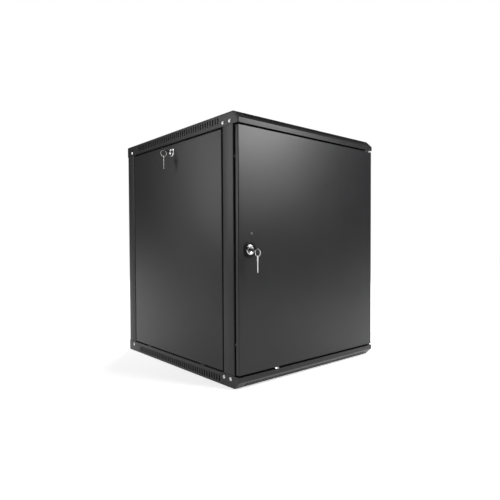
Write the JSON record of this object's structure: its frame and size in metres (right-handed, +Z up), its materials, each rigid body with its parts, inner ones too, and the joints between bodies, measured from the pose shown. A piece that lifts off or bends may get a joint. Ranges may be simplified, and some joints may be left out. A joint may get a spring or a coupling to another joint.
{
  "type": "network rack cabinet",
  "caption": "Wall-mounted 19 inch network cabinet with a lockable hinged door, lift-out side panels, slotted roof and floor pans and adjustable rack rails.",
  "frame": {"origin": "centre of the footprint on the floor pan's underside", "axes": "+Z up, +X to the right seen from the front, +Y towards the wall, so the door faces -Y"},
  "size_m": [0.6421, 0.6886, 0.745],
  "materials": {
    "grey_powder_coat": "fine textured powder coat, satin",
    "zinc_steel": "bright zinc plated",
    "lock_chrome": "polished",
    "nickel_keys": "nickel plated",
    "black_plastic": "moulded, matte",
    "buffer_rubber": "matte",
    "mark_grey": "satin"
  },
  "bodies": {
    "cabinet": {"bottom_left_beam": "grey_powder_coat", "bottom_right_beam": "grey_powder_coat", "corner_screws": "zinc_steel", "cover_screws": "zinc_steel", "door_rest_clip": "zinc_steel", "floor_cable_cover": "grey_powder_coat", "floor_panel": "grey_powder_coat", "front_left_post": "grey_powder_coat", "front_left_rail": "zinc_steel", "front_right_post": "grey_powder_coat", "front_right_rail": "zinc_steel", "hinge_washer": "black_plastic", "rail_bolts": "zinc_steel", "rail_nuts": "zinc_steel", "rear_left_post": "grey_powder_coat", "rear_left_rail": "zinc_steel", "rear_panel": "grey_powder_coat", "rear_panel_screws": "zinc_steel", "rear_right_post": "grey_powder_coat", "rear_right_rail": "zinc_steel", "roof_cable_cover": "grey_powder_coat", "roof_panel": "grey_powder_coat", "top_left_beam": "grey_powder_coat", "top_right_beam": "grey_powder_coat"},
    "door": {"front_door": "grey_powder_coat", "door_stiffener": "grey_powder_coat", "door_buffers": "buffer_rubber", "door_mark": "mark_grey", "hinge_bush": "zinc_steel", "hinge_spring": "zinc_steel", "bottom_hinge_pin": "zinc_steel", "door_lock_rosette": "black_plastic", "door_lock_housing": "lock_chrome", "door_lock_nut": "zinc_steel"},
    "hinge_pin": {"top_hinge_pin": "zinc_steel"},
    "door_lock_core": {"door_lock_plug": "lock_chrome", "door_lock_cam": "zinc_steel", "door_cam_screw": "zinc_steel", "door_key": "nickel_keys"},
    "door_ring": {"door_key_ring": "nickel_keys"},
    "door_spare": {"door_spare_key": "nickel_keys"},
    "left_panel": {"left_side_panel": "grey_powder_coat", "left_panel_hooks": "grey_powder_coat", "left_lock_housing": "lock_chrome", "left_lock_nut": "zinc_steel"},
    "left_lock_core": {"left_lock_plug": "lock_chrome", "left_lock_cam": "zinc_steel", "left_cam_screw": "zinc_steel", "left_key": "nickel_keys"},
    "left_ring": {"left_key_ring": "nickel_keys"},
    "left_spare": {"left_spare_key": "nickel_keys"},
    "right_panel": {"right_side_panel": "grey_powder_coat", "right_panel_hooks": "grey_powder_coat", "right_lock_housing": "lock_chrome", "right_lock_nut": "zinc_steel"},
    "right_lock_core": {"right_lock_plug": "lock_chrome", "right_lock_cam": "zinc_steel", "right_cam_screw": "zinc_steel"}
  },
  "joints": [
    {"name": "front_door", "type": "hinge", "parent": "cabinet", "child": "door", "pos_m": [0.289, -0.314, 0], "axis": [0, 0, 1], "range_deg": [0, 180]},
    {"name": "top_hinge_pin", "type": "slide", "parent": "door", "child": "hinge_pin", "axis": [0, 0, 1], "range_m": [-0.0055, 0], "stiffness_N_per_m": 600, "springref_m": 0.004, "deforming": ["hinge_spring"]},
    {"name": "door_lock_turn", "type": "hinge", "parent": "door", "child": "door_lock_core", "pos_m": [-0.26, -0.3235, 0.375], "axis": [0, 1, 0], "range_deg": [0, 90]},
    {"name": "door_key_ring_swing", "type": "hinge", "parent": "door_lock_core", "child": "door_ring", "pos_m": [-0.26, -0.3467, 0.375], "axis": [0, 1, 0], "range_deg": [-35, 35]},
    {"name": "door_spare_key_swing", "type": "hinge", "parent": "door_ring", "child": "door_spare", "pos_m": [-0.26, -0.3527, 0.3574], "axis": [0, 1, 0], "range_deg": [-35, 35]},
    {"name": "left_panel_tilt", "type": "hinge", "parent": "cabinet", "child": "left_panel", "pos_m": [-0.2995, 0, 0.0385], "axis": [0, -1, 0], "range_deg": [0, 30]},
    {"name": "left_lock_turn", "type": "hinge", "parent": "left_panel", "child": "left_lock_core", "pos_m": [-0.2995, 0.011, 0.6825], "axis": [-1, 0, 0], "range_deg": [0, 90]},
    {"name": "left_key_ring_swing", "type": "hinge", "parent": "left_lock_core", "child": "left_ring", "pos_m": [-0.3227, 0.011, 0.6825], "axis": [1, 0, 0], "range_deg": [-35, 35]},
    {"name": "left_spare_key_swing", "type": "hinge", "parent": "left_ring", "child": "left_spare", "pos_m": [-0.3287, 0.011, 0.6649], "axis": [1, 0, 0], "range_deg": [-35, 35]},
    {"name": "right_panel_tilt", "type": "hinge", "parent": "cabinet", "child": "right_panel", "pos_m": [0.2995, 0, 0.0385], "axis": [0, 1, 0], "range_deg": [0, 30]},
    {"name": "right_lock_turn", "type": "hinge", "parent": "right_panel", "child": "right_lock_core", "pos_m": [0.2995, 0.011, 0.6825], "axis": [1, 0, 0], "range_deg": [0, 90]}
  ]
}
